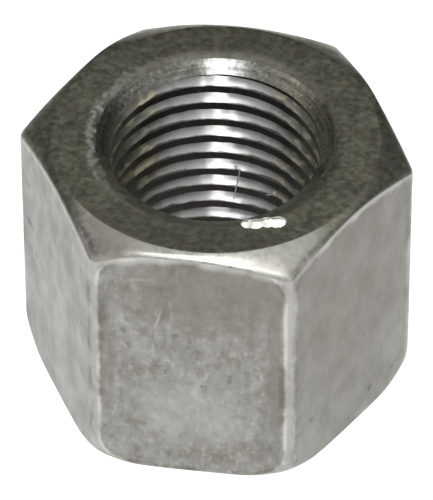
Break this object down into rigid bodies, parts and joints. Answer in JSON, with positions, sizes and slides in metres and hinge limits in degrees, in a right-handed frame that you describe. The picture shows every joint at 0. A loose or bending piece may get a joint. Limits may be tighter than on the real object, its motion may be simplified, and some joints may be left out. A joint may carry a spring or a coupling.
{
  "type": "lug nut",
  "caption": "Hexagonal steel lug nut with chamfered corners and a right-hand thread right through it, for clamping a wheel onto its stud.",
  "frame": {"origin": "centre of the seat face, on the thread's axis", "axes": "+Z along the thread's axis from the seat face to the top face, +X through a corner of the hexagon, -Y out of the front flat"},
  "size_m": [0.0218, 0.019, 0.0167],
  "materials": {
    "steel": "dull grey steel with mottled flats, worn bright edges and a bright cut thread"
  },
  "bodies": {
    "root": {"lug_nut": "steel"}
  },
  "joints": []
}
